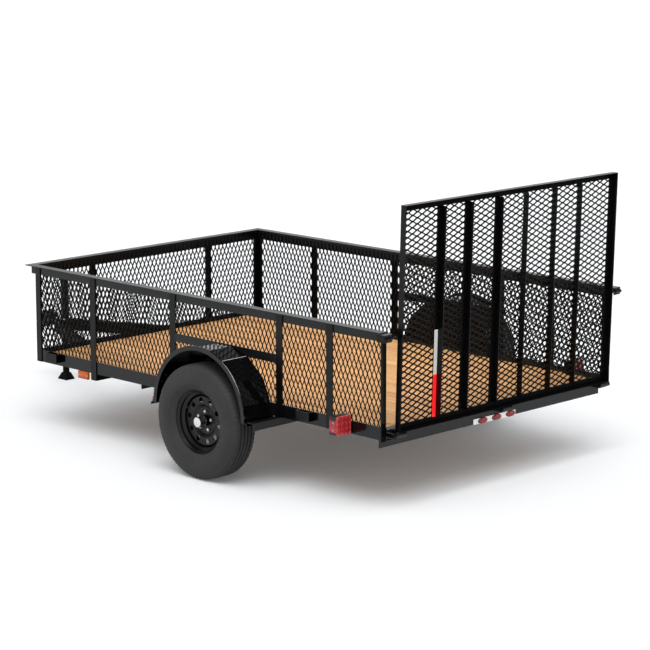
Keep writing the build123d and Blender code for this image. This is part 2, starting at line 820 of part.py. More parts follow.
def gate_latch():
    """Folded bracket under the end of the left top rail, with its sleeve and drawn-back pin."""
    outside = (half_width + post_thickness, latch_outer_y)
    top = wall_top - steel
    roof = block(latch_x, outside, (top - latch_sheet, top))
    rear = block((latch_x[0], latch_x[0] + latch_sheet), outside, (latch_bottom, top))
    side = block(latch_x, (latch_outer_y - latch_sheet, latch_outer_y), (latch_bottom, top))
    slot_x = (latch_x[0] + latch_x[1]) / 2 + 8.0
    side = side - bar_y(slot_x, latch_pin[1], (outside[1] - 10.0, outside[1] + 10.0), 8.0)
    pin_x, pin_z = latch_pin
    sleeve = bar_y(pin_x, pin_z, (outside[0] + 8.0, outside[1] - 6.0), latch_sleeve_radius)
    pin = bar_y(pin_x, pin_z, (gate_half + latch_gap, outside[1]), latch_pin_radius)
    return joined([roof, rear, side, sleeve, pin])


# ---- lamps, pockets and small fittings -------------------------------------------------------
def stake_pockets():
    """U-shaped pockets outside the left rail."""
    pockets = []
    low = rail_top - pocket_height
    for middle in pocket_xs:
        span = (middle - pocket_length / 2, middle + pocket_length / 2)
        whole = block(span, (half_width, half_width + pocket_depth), (low, rail_top))
        inner = block(
            (span[0] + pocket_wall, span[1] - pocket_wall),
            (half_width - 1.0, half_width + pocket_depth - pocket_wall),
            (low - 1.0, rail_top + 1.0),
        )
        pockets.append(whole - inner)
    return pockets


def tail_lamp():
    """Square tail lamp outside the rail: housing, proud rear lens and a flat lens on its side."""
    x, y, z = tail_lamp_x, tail_lamp_y, tail_lamp_z
    lens_face = Rectangle(y[1] - y[0], z[1] - z[0])
    lens_face = fillet(lens_face.vertices(), rear_lens_corner)
    lens = extrude(lens_face, amount=rear_lens_depth)
    lens = Pos(x[0], (y[0] + y[1]) / 2, (z[0] + z[1]) / 2) * across(lens)
    housing = block((x[0] + rear_lens_depth, x[1]), (y[0], y[1] - side_lens_depth), z)
    side_lens = block(side_lens_x, (y[1] - side_lens_depth, y[1]), side_lens_z)
    return joined([lens, housing, side_lens])


def tail_bracket():
    outside = (half_width, half_width + post_thickness)
    return block((tail_lamp_x[0] + 10.0, tail_lamp_x[1] - 10.0), outside, (420.0, rail_top - 5.0))


def marker_lamps():
    """Amber side marker under the rail and the small one on the fender's front foot."""
    marker = block(marker_x, (half_width - 8.0, half_width + 12.0), (marker_bottom, rail_bottom))
    clip_x = axle_x + fender_foot_reach
    clip_z = fender_foot_z + fender_sheet
    clip = block((clip_x + 1.0, clip_x + fender_flange), clip_y, (clip_z, clip_z + clip_height))
    return [marker, clip]


def sill_lamps():
    """Three oval marker lamps on the rear sill."""
    low, high = sill_lamp_z
    pieces = []
    for y in sill_lamp_ys:
        lens = extrude(Ellipse(sill_lamp_half, (high - low) / 2), amount=sill_lamp_depth)
        pieces.append(Pos(-sill_lamp_depth, y, (low + high) / 2) * across(lens))
    return pieces


# ---- write every node ------------------------------------------------------------------------
save_both("side_rails", [side_rail()])
save("front_sill", [front_sill()])
save("rear_sill", [rear_sill()])
save("deck_crossmembers", deck_crossmembers())
save("tongue_beam", [tongue_beam()])
save("fender_beam", [fender_beam()])
save("deck_planks", planks())
save_both("top_rails", [side_top_rail()])
save("top_rail_front", [front_top_rail()])
save_both("wall_posts", side_posts())
save("wall_posts_front", front_posts())
save_both("mid_rails", [mid_rail()])
save_both("wall_mesh_sides", [side_mesh()])
save("wall_mesh_front", [front_mesh()])
save_pair("fender", [fender()])
save("axle_beam", [axle()])
save_both("leaf_springs", [spring()])
save_both("spring_clamps", spring_clamp())
save_both("spring_hangers", hangers())
save_both("tongue_legs", [tongue_leg()])
save("coupler", [coupler()])
save("coupler_latch", [coupler_latch()])
save("jack_housing", [jack_housing()])
save("jack_crank", [jack_crank()])
save("jack_leg", [jack_leg()])
save_pair("tyre", [tyre()])
save_pair("rim", [rim()])
save_pair("hub", hub())
save("gate_frame", [gate_frame()])
save("gate_uprights", gate_uprights())
save("gate_mesh", [gate_mesh()])
save("gate_barrels", gate_barrels())
save("gate_tape", [gate_tape()])
save("gate_hinges", gate_hinges())
save_both("gate_latches", [gate_latch()])
save_both("stake_pockets", stake_pockets())
save_both("tail_lamps", [tail_lamp()])
save_both("tail_brackets", [tail_bracket()])
save_both("marker_lamps", marker_lamps())
save("sill_lamps", sill_lamps())
print("origin_x", round(origin_x, 3), "gate_rear_x", round(gate_rear_x, 3))
print("hinge", round(hinge_x - origin_x, 3), hinge_z, "axle", axle_x - origin_x, axle_z)
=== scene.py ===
"""Looks for a single-axle utility trailer: mesh walls, plank deck, ramp gate, wheels, lamps and studio."""

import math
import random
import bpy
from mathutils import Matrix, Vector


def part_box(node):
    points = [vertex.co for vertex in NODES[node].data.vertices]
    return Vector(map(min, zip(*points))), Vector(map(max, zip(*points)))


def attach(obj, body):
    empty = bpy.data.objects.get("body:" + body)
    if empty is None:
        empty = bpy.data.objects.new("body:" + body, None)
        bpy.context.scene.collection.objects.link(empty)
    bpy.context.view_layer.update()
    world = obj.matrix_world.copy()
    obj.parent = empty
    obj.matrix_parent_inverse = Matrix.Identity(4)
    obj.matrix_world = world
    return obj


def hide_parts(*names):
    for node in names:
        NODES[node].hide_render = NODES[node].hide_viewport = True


bl_info = {
    "name": "Utility Trailer Dresser",
    "version": (1, 0, 0),
    "blender": (4, 5, 0),
    "location": "View3D > Sidebar > Trailer",
    "description": "Builds the mesh panels, planks, tyres, lamps and finishes of a utility trailer",
    "category": "Add Mesh",
}

import bmesh
import bpy
from mathutils import Matrix, Vector

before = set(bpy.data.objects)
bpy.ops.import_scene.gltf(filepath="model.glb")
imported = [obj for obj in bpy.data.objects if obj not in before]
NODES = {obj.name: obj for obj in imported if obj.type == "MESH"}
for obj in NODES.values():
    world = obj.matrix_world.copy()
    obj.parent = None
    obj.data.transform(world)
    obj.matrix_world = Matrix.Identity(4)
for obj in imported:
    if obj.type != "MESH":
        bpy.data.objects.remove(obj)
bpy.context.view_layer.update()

# sizes and places of the trailer, in metres
MM = 0.001
ORIGIN_X = 2.024273  # from the bed's rear face to the trailer's own middle
AXLE_X = 1.250 - ORIGIN_X
AXLE_Z = 0.3445
WHEEL_Y = 1.137
DECK_TOP = 0.456
GATE_HINGE = Vector((-0.095 - ORIGIN_X, 0.0, 0.447))
GATE_LEAN = math.radians(1.65)
SIDES = (("left", 1), ("right", -1))
ALONG, ACROSS, UP = Vector((1, 0, 0)), Vector((0, 1, 0)), Vector((0, 0, 1))
REARWARD, DOWN = Vector((-1, 0, 0)), Vector((0, 0, -1))

# expanded mesh
PANEL_THICK = 0.003  # of the wall panels
STRAND_DEPTH = 0.0042  # through the sheet, a little more than the panel
STRAND_HALF, STRAND_TILT = 0.36, 0.1408  # shares of that depth: half a strand, and the lean of its edge
KNOT_WIDTH = 1.4  # a knot is this much wider than a strand
KNOT_OVERLAP = 0.6  # strands start this far along half a knot
POST_GAP = 0.010  # the side sheets end here, so no cut strand peeps past the rear post

# planks and their screws
PLANKS, PLANK_GAP, PLANK_EDGE = 10, 0.006, 0.0025
SCREW_LINES = (0.403, 1.15, 1.697, 2.09, 2.455, 2.978)  # crossmembers, tongue beam, front sill
SCREW_ASIDE = 0.055  # from a plank's middle

# wheels
TYRE_STEPS, SIPE_EVERY, SIPE_DEPTH = 240, 3, 0.0035
HUB_FACE = 0.001  # where the nuts sit, out from the wheel's middle
NUTS, BOLT_CIRCLE = 5, 0.05715  # the radius of the usual 4.5 in circle
FIRST_NUT, VALVE_TURN = math.radians(22.9), math.radians(24.8)  # from forward
VALVE_REACH, VALVE_OUT = 0.152, 0.006

# gate
GATE_UNSHADED_BAND = (0.520, 1.700)  # the gate's rear faces shine between these heights; outside them the shine is taken off as painted shade
GATE_MESH_FOOT = (0.0205, 0.025)  # the sheet's lower edge, forward of and above the hinge
GATE_MESH_TALL = 1.270

# studio
CAMERA_PLACE = (-9.5173 - ORIGIN_X, 11.0335, 3.848)
CAMERA_YAW, CAMERA_PITCH = math.radians(-45.3297), math.radians(-11.346)
FLOOR_HALF, FLOOR_DROP = 150.0, 0.0005
KEY_AIM = Vector((0.35, -0.35, -1.0))


# ---- settings a user would change ------------------------------------------------------------
class TrailerMesh(bpy.types.PropertyGroup):
    """Expanded steel mesh of the walls and the gate."""

    long_way: bpy.props.FloatProperty(
        name="Long way", description="Length of one diamond", default=0.0762, unit="LENGTH"
    )
    short_way: bpy.props.FloatProperty(
        name="Short way", description="Width of one diamond", default=0.0345, unit="LENGTH"
    )
    strand: bpy.props.FloatProperty(
        name="Strand", description="Width of one strand", default=0.0055, unit="LENGTH"
    )
    bond: bpy.props.FloatProperty(
        name="Bond", description="Length of the knot between diamonds", default=0.010, unit="LENGTH"
    )
    far_weight: bpy.props.FloatProperty(
        name="Far weight", description="How much wider the right and front walls' strands are", default=1.42
    )
    gate_weight: bpy.props.FloatProperty(
        name="Gate weight", description="How much wider the gate's strands are", default=1.45
    )


class TrailerColours(bpy.types.PropertyGroup):
    """Finishes as sRGB hex values."""

    paint: bpy.props.StringProperty(name="Paint", description="Frame paint", default="#0A0B0D")
    rubber: bpy.props.StringProperty(name="Rubber", description="Tyre rubber", default="#2C2C2D")
    pale_wood: bpy.props.StringProperty(name="Pale wood", description="Early wood", default="#FFD69C")
    late_wood: bpy.props.StringProperty(name="Late wood", description="Grain lines", default="#B26A38")
    red: bpy.props.StringProperty(name="Red", description="Red lens", default="#F54A4E")
    amber: bpy.props.StringProperty(name="Amber", description="Amber lens", default="#FA7C1E")
    tape_red: bpy.props.StringProperty(name="Tape red", description="Reflective red", default="#F20E14")
    tape_white: bpy.props.StringProperty(
        name="Tape white", description="Reflective white", default="#F2F2EE"
    )


class TrailerStudio(bpy.types.PropertyGroup):
    """Light and floor around the trailer."""

    sky: bpy.props.FloatProperty(name="Sky", description="Soft light from all sides", default=0.62, min=0.0)
    sun: bpy.props.FloatProperty(name="Key", description="Soft key lamp", default=1.65, min=0.0)
    sun_angle: bpy.props.FloatProperty(
        name="Key size", description="How wide the key lamp looks", default=math.radians(50), subtype="ANGLE"
    )
    lens: bpy.props.FloatProperty(name="Lens", description="Focal length in millimetres", default=141.24)


# ---- materials -------------------------------------------------------------------------------
FINISH = {}  # every material by its name
WAVE_RADIANS = 20  # what a wave texture runs through in one unit


def linear(hex_value):
    """An sRGB hex colour as linear red, green, blue and alpha."""
    values = [int(hex_value[i : i + 2], 16) / 255 for i in (1, 3, 5)]
    return tuple(v / 12.92 if v <= 0.04045 else ((v + 0.055) / 1.055) ** 2.4 for v in values) + (1.0,)


def per_mm(size):
    """A pattern's scale from the real size of one of its features, in millimetres."""
    return 1000 / size


def grain(length, width):
    """A scale at which a grain feature of this length and width, in millimetres, is one unit."""
    return (per_mm(length), per_mm(width), per_mm(width))


def crests(spacing):
    """A wave texture's scale from the distance between its crests, in millimetres."""
    return per_mm(spacing) * math.tau / WAVE_RADIANS


def plug(node, inputs):
    """Sets a node's inputs, or links them; a node as a value stands for its first output."""
    for key, value in inputs.items():
        if isinstance(value, bpy.types.Node):
            value = value.outputs[0]
        if isinstance(value, bpy.types.NodeSocket):
            node.id_data.links.new(value, node.inputs[key])
        else:
            node.inputs[key].default_value = value


def add(tree, kind, inputs=None, stops=None, **options):
    """One shader node with its options, ramp stops, input values and links."""
    node = tree.nodes.new("ShaderNode" + kind)
    for name, value in options.items():
        setattr(node, name, value)
    if stops:
        marks = node.color_ramp.elements
        while len(marks) < len(stops):
            marks.new(0.5)
        for mark, (place, colour) in zip(marks, stops):
            mark.position = place
            mark.color = linear(colour)
    plug(node, inputs or {})
    return node


def material(name):
    """A new node material, kept in FINISH: its tree and its surface shader."""
    made = bpy.data.materials.new(name)
    made.use_nodes = True
    FINISH[name] = made
    return made.node_tree, made.node_tree.nodes["Principled BSDF"]


def painted_steel(name, base, worn, roughness, grit_mm, dust=0.25, bump_mm=0.05, shine=0.5):
    """Enamel over mill-finish steel: near-black, with slight orange peel and a film of dust."""
    tree, shader = material(name)
    place = add(tree, "TexCoord").outputs["Object"]
    blotch = {"Vector": place, "Scale": per_mm(286), "Detail": 6.0, "Roughness": 0.6}
    speck = {"Vector": place, "Scale": per_mm(grit_mm), "Detail": 3.0, "Roughness": 0.7}
    noises = {key: add(tree, "TexNoise", values) for key, values in enumerate((blotch, speck))}
    film = add(tree, "Math", noises, operation="MULTIPLY")
    rough = {"Value": film, "From Min": 0.12, "From Max": 0.5}
    rough.update({"To Min": roughness, "To Max": roughness + dust})
    # sprayed enamel's peel is about 1 mm across; it is drawn coarser, so that it shows
    peel = add(tree, "TexNoise", {"Vector": place, "Scale": per_mm(4.17), "Detail": 1.5})
    bump = {"Height": peel, "Strength": 0.25, "Distance": bump_mm * MM}
    surface = {
        "Base Color": add(tree, "ValToRGB", {"Fac": film}, stops=((0.18, base), (0.62, worn))),
        "Roughness": add(tree, "MapRange", rough),
        "Normal": add(tree, "Bump", bump),
        "IOR": 1.5,
        "Specular IOR Level": shine,
    }
    plug(shader, surface)
    return shader


def paint_shade_on_rear_faces(shader, low, high, shine):
    """Painted shade: takes the shine off the rear faces below one height and above another, so they render
    dark as if shaded.
    """
    tree = shader.id_data
    place = add(tree, "TexCoord").outputs
    level = add(tree, "SeparateXYZ", {"Vector": place["Object"]}).outputs["Z"]
    level = add(tree, "Math", {0: level, 1: (low + high) / 2}, operation="SUBTRACT")
    level = add(tree, "Math", {0: level}, operation="ABSOLUTE")
    outside = add(tree, "Math", {0: level, 1: (high - low) / 2}, operation="GREATER_THAN")
    forward = add(tree, "SeparateXYZ", {"Vector": place["Normal"]}).outputs["X"]
    rear = add(tree, "Math", {0: forward, 1: -0.5}, operation="LESS_THAN")
    both = add(tree, "Math", {0: outside, 1: rear}, operation="MULTIPLY")
    shaded_shine = add(tree, "MapRange", {"Value": both, "To Min": shine, "To Max": 0.02})
    plug(shader, {"Specular IOR Level": shaded_shine})


def zinc_plate(name, base, roughness):
    """Zinc-plated steel: pale, slightly cloudy metal."""
    tree, shader = material(name)
    place = add(tree, "TexCoord").outputs["Object"]
    cloud = {"Vector": place, "Scale": per_mm(16.7), "Detail": 5.0, "Roughness": 0.65}
    cloud = add(tree, "TexNoise", cloud)
    rough = {"Value": cloud, "To Min": roughness - 0.06, "To Max": roughness + 0.14}
    surface = {
        "Base Color": add(tree, "ValToRGB", {"Fac": cloud}, stops=((0.3, base), (0.75, "#F2F2EF"))),
        "Roughness": add(tree, "MapRange", rough),
        "Metallic": 1.0,
    }
    plug(shader, surface)


def sawn_pine(name, pale, late):
    """Planed pine planks, treated: honey wood with brown late-wood lines along the board and a few knots."""
    tree, shader = material(name)
    place = add(tree, "TexCoord").outputs["Object"]
    board = add(tree, "Attribute", attribute_name="board").outputs["Fac"]
    # each board is cut from its own place in a stretch of 37 m, so no two share their grain
    jump = add(tree, "Math", {0: board, 1: 37.0}, operation="MULTIPLY")
    jump = add(tree, "CombineXYZ", {"X": jump, "Y": board, "Z": 0.0})
    own = add(tree, "VectorMath", {0: place, 1: jump}, operation="ADD")

    # late-wood lines about 7.5 mm apart across the board, nearly a metre long along it
    band = 38.46
    stretch = add(tree, "Mapping", {"Vector": own, "Scale": grain(909, band)})
    wander = {"Vector": stretch, "Scale": 1.0, "Detail": 4.0, "Roughness": 0.55}
    ring = {"Vector": stretch, "Scale": crests(7.552) / per_mm(band), "Distortion": 7.0, "Detail": 3.0}
    ring.update({"Detail Scale": 1.2, "Detail Roughness": 0.6})
    ring = add(tree, "TexWave", ring, wave_type="BANDS", bands_direction="Y").outputs["Fac"]
    lines = add(tree, "Math", {0: ring, 1: add(tree, "TexNoise", wander)}, operation="MULTIPLY")
    stops = ((0.1, pale), (0.34, "#FCB673"), (0.52, "#DE8E4C"), (0.68, late))
    wood = add(tree, "ValToRGB", {"Fac": lines}, stops=stops)

    # wood fibre is finer than 1 mm; it is drawn coarser, so that it shows
    thread = add(tree, "Mapping", {"Vector": own, "Scale": grain(111.1, 2.381)})
    fibre = {"Vector": thread, "Scale": 1.0, "Detail": 3.0, "Roughness": 0.7}
    fibre = add(tree, "TexNoise", fibre)
    share = add(tree, "Math", {0: fibre, 1: 0.28}, operation="MULTIPLY")
    grained = add(tree, "Mix", {"Factor": share, "A": wood, "B": linear("#CC8648")}, data_type="RGBA")
    tone = add(tree, "MapRange", {"Value": board, "To Min": 0.98, "To Max": 1.14})
    toned = add(tree, "HueSaturation", {"Color": grained.outputs["Result"], "Value": tone})

    cells = add(tree, "Mapping", {"Vector": own, "Scale": grain(769, 181.8)})
    spots = add(tree, "TexVoronoi", {"Vector": cells, "Scale": 1.0})
    knot = {"Value": spots, "From Min": 0.03, "From Max": 0.11, "To Min": 1.0, "To Max": 0.0}
    knot = {"Factor": add(tree, "MapRange", knot), "A": toned, "B": linear("#8A5427")}
    bump = {"Height": fibre, "Strength": 0.3, "Distance": 0.4 * MM}
    surface = {
        "Base Color": add(tree, "Mix", knot, data_type="RGBA").outputs["Result"],
        "Normal": add(tree, "Bump", bump),
        "Roughness": 0.62,
        "IOR": 1.5,
    }
    plug(shader, surface)


def road_rubber(name, base):
    """Vulcanised rubber: charcoal and matt, chalky in soft clouds, with a fine moulded grit."""
    tree, shader = material(name)
    place = add(tree, "TexCoord").outputs["Object"]
    cloud = {"Vector": place, "Scale": per_mm(143), "Detail": 6.0, "Roughness": 0.6}
    cloud = add(tree, "TexNoise", cloud)
    grit = add(tree, "TexNoise", {"Vector": place, "Scale": per_mm(1.11), "Detail": 2.0})
    bump = {"Height": grit, "Strength": 0.35, "Distance": 0.25 * MM}
    surface = {
        "Base Color": add(tree, "ValToRGB", {"Fac": cloud}, stops=((0.3, base), (0.8, "#3B3B3C"))),
        "Normal": add(tree, "Bump", bump),
        "Roughness": 0.72,
        "IOR": 1.52,
    }
    plug(shader, surface)


def moulded_lens(name, base, deep, ribs_mm):
    """Acrylic lens: glossy coloured skin with optic ribs moulded behind it.

    Real ribs are about 5 mm apart; ribs_mm spaces them wider, so that they show.
    """
    tree, shader = material(name)
    place = add(tree, "TexCoord").outputs["Object"]
    ribs = {
        key: add(
            tree, "TexWave", {"Vector": place, "Scale": crests(ribs_mm)}, bands_direction=axis
        ).outputs["Fac"]
        for key, axis in enumerate("ZY")
    }
    grid = add(tree, "Math", ribs, operation="MULTIPLY")
    bump = {"Height": grid, "Strength": 0.25, "Distance": 0.5 * MM}
    surface = {
        "Base Color": add(tree, "ValToRGB", {"Fac": grid}, stops=((0.0, deep), (0.8, base))),
        "Normal": add(tree, "Bump", bump),
        "Roughness": 0.16,
        "IOR": 1.49,
        "Specular IOR Level": 0.5,
    }
    plug(shader, surface)


def film_with_painted_glow(name, base, back):
    """Retroreflective film: flat, with a fine honeycomb of cells, and back sets a painted glow that makes it
    brighter than the lamps light it.
    """
    tree, shader = material(name)
    place = add(tree, "TexCoord").outputs["Object"]
    cells = {"Vector": place, "Scale": per_mm(4.55)}
    cells = add(tree, "TexVoronoi", cells, feature="DISTANCE_TO_EDGE")
    seam = {"Value": cells, "From Max": 0.12, "To Min": 0.05, "To Max": 0.0}
    tint = {"Factor": add(tree, "MapRange", seam), "A": linear(base), "B": linear("#B8B8B8")}
    tint = add(tree, "Mix", tint, data_type="RGBA").outputs["Result"]
    # painted glow: the film emits light of its own, standing in for the light its beads send straight back
    surface = {"Base Color": tint, "Emission Color": tint, "Emission Strength": back, "Roughness": 0.35}
    plug(shader, surface)


def seen_rays(tree):
    """The light path node, and a value that is 1 for camera, glossy and transmission rays."""
    rays = add(tree, "LightPath")
    seen = rays.outputs["Is Camera Ray"]
    for kind in ("Is Glossy Ray", "Is Transmission Ray"):
        seen = add(tree, "Math", {0: seen, 1: rays.outputs[kind]}, operation="MAXIMUM")
    return rays, seen


def paper_sweep():
    """Matt paper: near-white where it is seen, and it sends back less light to what stands on it."""
    tree, shader = material("paper_sweep")
    tree.nodes.remove(shader)
    _, seen = seen_rays(tree)
    tone = {"Factor": seen, "A": linear("#6F6F6F"), "B": linear("#F9FBFD")}
    tone = add(tree, "Mix", tone, data_type="RGBA").outputs["Result"]
    lift = add(tree, "Math", {0: seen, 1: 0.075}, operation="MULTIPLY")
    glow = add(tree, "Emission", {"Color": linear("#FFFFFF"), "Strength": lift})
    both = add(tree, "AddShader", {0: add(tree, "BsdfDiffuse", {"Color": tone}), 1: glow})
    plug(tree.nodes["Material Output"], {"Surface": both})


def soft_room(sky):
    """The world: even light at strength sky, white where it is seen."""
    world = bpy.data.worlds.new("soft_room")
    world.use_nodes = True
    tree = world.node_tree
    tree.nodes.clear()
    rays, seen = seen_rays(tree)
    level = add(tree, "MapRange", {"Value": seen, "To Min": sky, "To Max": 1.0})
    # overhead the room is dark in reflections, which gives gloss paint its depth
    toward = add(tree, "TexCoord").outputs["Generated"]
    height = add(tree, "SeparateXYZ", {"Vector": toward}).outputs["Z"]
    ceiling = add(tree, "MapRange", {"Value": height, "From Min": 0.42, "From Max": 0.62, "To Max": 0.9})
    shade = add(tree, "Math", {0: ceiling, 1: rays.outputs["Is Glossy Ray"]}, operation="MULTIPLY")
    open_part = add(tree, "Math", {0: 1.0, 1: shade}, operation="SUBTRACT")
    strength = add(tree, "Math", {0: level, 1: open_part}, operation="MULTIPLY")
    air = add(tree, "Background", {"Color": linear("#FFFFFF"), "Strength": strength})
    add(tree, "OutputWorld", {"Surface": air})
    return world


def make_finishes():
    """Every finish on the trailer."""
    colours = bpy.context.scene.trailer_colours
    paint = colours.paint
    # rolled-angle frame: semi-gloss enamel with a blue cast, greyed a little by dust and handling
    painted_steel("frame_enamel", paint, "#1B1D21", 0.26, 6.0, dust=0.2, shine=0.3)
    # side rails: freshly sprayed, so they mirror the floor and the lamps beside them
    painted_steel("rail_gloss", paint, "#16181B", 0.09, 6.0, dust=0.08, bump_mm=0.02, shine=0.3)
    # gate: the same enamel, darker and with less shine, which is painted shade; the rear faces of its top
    # and foot bars are also made matt, as painted shade
    gate_shine = 0.2
    gate = painted_steel("shaded_gate_paint", "#050506", "#101114", 0.24, 6.0, dust=0.15, shine=gate_shine)
    paint_shade_on_rear_faces(gate, *GATE_UNSHADED_BAND, gate_shine)
    # jack foot and tongue: thin black paint that throws back almost nothing
    painted_steel("jack_black", "#050505", "#0F0F0F", 0.5, 5.0, shine=0.07)
    # fender sheet: wet-looking gloss enamel that mirrors the mesh beside it
    painted_steel("fender_gloss", "#040405", "#0B0B0C", 0.07, 9.0, dust=0.06, bump_mm=0.02, shine=0.36)
    # expanded mesh: dipped enamel, deep black
    painted_steel("mesh_enamel", "#040405", "#0B0C0D", 0.34, 5.0, dust=0.15, shine=0.09)
    # wheel: satin black powder coat
    painted_steel("wheel_powder", "#08080A", "#141517", 0.34, 4.0, dust=0.1, shine=0.3)
    # axle and springs: flat black chassis paint with more road dust
    painted_steel("chassis_black", "#0A0A0A", "#1E1D1C", 0.5, 5.0, shine=0.25)
    # painted highlight: a pale strip that stands in for the light the fender's rear fold and lip catch
    painted_steel("painted_glint", "#C6C6C4", "#DEDEDC", 0.3, 4.0)
    # lamp housing: black ABS, moulded, fine texture
    painted_steel("black_abs", "#101011", "#202122", 0.45, 2.5, dust=0.1)
    # deck: warm honey boards, each its own tone
    sawn_pine("pine_plank", colours.pale_wood, colours.late_wood)
    # tyres: soft charcoal that hardly shines
    road_rubber("road_rubber", colours.rubber)
    # zinc for bolts and screws, duller for the wheel's nuts, polished for the grease cap
    zinc_plate("zinc", "#C9CACB", 0.28)
    zinc_plate("nut_steel", "#8A8B8C", 0.3)
    zinc_plate("chrome_cap", "#C4C4C2", 0.18)
    # lenses: deep and wet-looking, darker between the ribs
    moulded_lens("red_acrylic", colours.red, "#CE3639", 31.4)
    moulded_lens("amber_acrylic", colours.amber, "#E56410", 31.4)
    moulded_lens("clear_acrylic", "#F3F3F0", "#D9D9D6", 25.1)
    # reflective film, and the pale moulded base that shows almost white between the sill lamps; each glows a
    # little, which is painted light
    film_with_painted_glow("tape_red", colours.tape_red, 0.8)
    film_with_painted_glow("tape_white", colours.tape_white, 0.2)
    film_with_painted_glow("white_base", "#F2F2F0", 0.5)


# ---- making pieces ---------------------------------------------------------------------------
def linked(name, data):
    """A new object in the scene."""
    made = bpy.data.objects.new(name, data)
    bpy.context.collection.objects.link(made)
    return made


def finished(name, mesh_data, body, finishes, replaced=(), smooth_angle=40.0):
    """Puts a mesh in the scene as a piece that rides on a body."""
    mesh = bpy.data.meshes.new(name)
    if isinstance(mesh_data, bmesh.types.BMesh):
        bmesh.ops.recalc_face_normals(mesh_data, faces=mesh_data.faces)
        mesh_data.to_mesh(mesh)
        mesh_data.free()
    else:
        mesh.from_pydata(*mesh_data)
    for finish in finishes:
        mesh.materials.append(FINISH[finish])
    piece = linked(name, mesh)
    mesh.shade_smooth()
    mesh.set_sharp_from_angle(angle=math.radians(smooth_angle))
    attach(piece, body)
    if replaced:
        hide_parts(*replaced)
    return piece


def at(x, y, z, side=1):
    """A point from millimetres: ahead of the bed's rear face, out to a side, above the ground."""
    return Vector((x * MM - ORIGIN_X, side * y * MM, z * MM))


def aimed(place, direction):
    """The turn that puts a piece at place, with its own Z along a direction."""
    return Matrix.Translation(place) @ direction.to_track_quat("Z", "Y").to_matrix().to_4x4()


def skin(bm, rings, finish=0, caps=()):
    """Joins rings of points, or a ring and a tip, and closes the rings that caps holds."""
    for low, high in zip(rings, rings[1:]):
        steps = max(len(low), len(high))
        for k in range(steps):
            after = (k + 1) % steps
            if len(low) == 1:
                corners = (low[0], high[k], high[after])
            elif len(high) == 1:
                corners = (low[k], low[after], high[0])
            else:
                corners = (low[k], low[after], high[after], high[k])
            bm.faces.new(corners).material_index = finish
    for ring in caps:
        bm.faces.new(ring).material_index = finish


def lathe(bm, profile, turn, steps, finish=0, flat=1.0, capped=False):
    """Turns (radius, along) points about turn's own Z, with flat squeezing the circle to an oval."""
    rings = []
    for radius, along in profile:
        angles = [math.tau * k / steps for k in range(steps)] if radius > 1e-6 else [0.0]
        spots = [(radius * math.cos(a), radius * flat * math.sin(a), along) for a in angles]
        rings.append([bm.verts.new(turn @ Vector(spot)) for spot in spots])
    skin(bm, rings, finish, rings[-1:] if capped else ())


def slab(bm, low, high, round_off=0.0, finish=0):
    """A box between two corners with its edges rounded."""
    low, high = Vector(low), Vector(high)
    verts = bmesh.ops.create_cube(bm, size=1.0)["verts"]
    bmesh.ops.scale(bm, verts=verts, vec=high - low)
    if round_off:
        edges = list({edge for vert in verts for edge in vert.link_edges})
        made = bmesh.ops.bevel(bm, geom=edges, offset=round_off, segments=2, affect="EDGES", profile=0.5)
        verts = list(set(made["verts"]) | {v for v in verts if v.is_valid})
    for face in {face for vert in verts for face in vert.link_faces}:
        face.material_index = finish
    bmesh.ops.translate(bm, verts=verts, vec=(low + high) / 2)
    return verts


def block(bm, low, high, side, round_off, finish):
    """A slab between two corners in millimetres, each as at() takes it."""
    pairs = [sorted(pair) for pair in zip(at(*low, side), at(*high, side))]
    slab(bm, *zip(*pairs), round_off * MM, finish)


def hex_nut(bm, place, direction, across, height, finish=0):
    """A chamfered hexagon nut or bolt head with its domed end, its base at place."""
    radius = across / math.sqrt(3)
    profile = ((1.0, 0.0), (1.0, 0.78), (0.86, 1.0), (0.45, 1.0), (0.0, 1.25))
    lathe(bm, [(radius * r, height * up) for r, up in profile], aimed(place, direction), 6, finish)


def dome(bm, place, direction, radius, height, finish=0):
    """A domed screw or rivet head, its base at place."""
    profile = ((1.0, 0.0), (0.94, 0.45), (0.72, 0.8), (0.4, 0.96))
    profile = [(radius * r, height * up) for r, up in profile]
    lathe(bm, profile, aimed(place, direction), 12, finish, capped=True)


def oval(bm, place, half_long, half_short, height, finish):
    """An oval domed lens that faces rearward."""
    profile = ((1.0, 0.0), (1.0, 0.45), (0.93, 0.75), (0.78, 0.92), (0.45, 1.0))
    profile = [(half_long * r * MM, height * up * MM) for r, up in profile]
    lathe(bm, profile, aimed(place, REARWARD), 32, finish, half_short / half_long, capped=True)


def plate(bm, place, direction, half_wide, half_high, corner, steps, finish):
    """A round-cornered plate built up along a direction in (height, inset) steps, in millimetres."""
    turn = aimed(place, direction)
    rings = []
    for height, inset in steps:
        radius = max(corner - inset, 1.0)
        ring = []
        for quarter, (sx, sy) in enumerate(((1, 1), (-1, 1), (-1, -1), (1, -1))):
            for k in range(7):
                angle = math.pi / 2 * (quarter + k / 6)
                x = sx * (half_wide - inset - radius) + radius * math.cos(angle)
                y = sy * (half_high - inset - radius) + radius * math.sin(angle)
                ring.append(bm.verts.new(turn @ (Vector((x, y, height)) * MM)))
        rings.append(ring)
    skin(bm, rings, finish, (rings[0], rings[-1]))


def clipped(a, b, size):
    """The part of the line a-b inside the rectangle from (0, 0) to size, or None."""
    low, high = 0.0, 1.0
    step = (b[0] - a[0], b[1] - a[1])
    for axis in (0, 1):
        if abs(step[axis]) < 1e-12:
            if not 0 <= a[axis] <= size[axis]:
                return None
            continue
        first = -a[axis] / step[axis]
        second = (size[axis] - a[axis]) / step[axis]
        low = max(low, min(first, second))
        high = min(high, max(first, second))
    if high - low < 0.02:
        return None
    return [(a[0] + step[0] * t, a[1] + step[1] * t) for t in (low, high)]


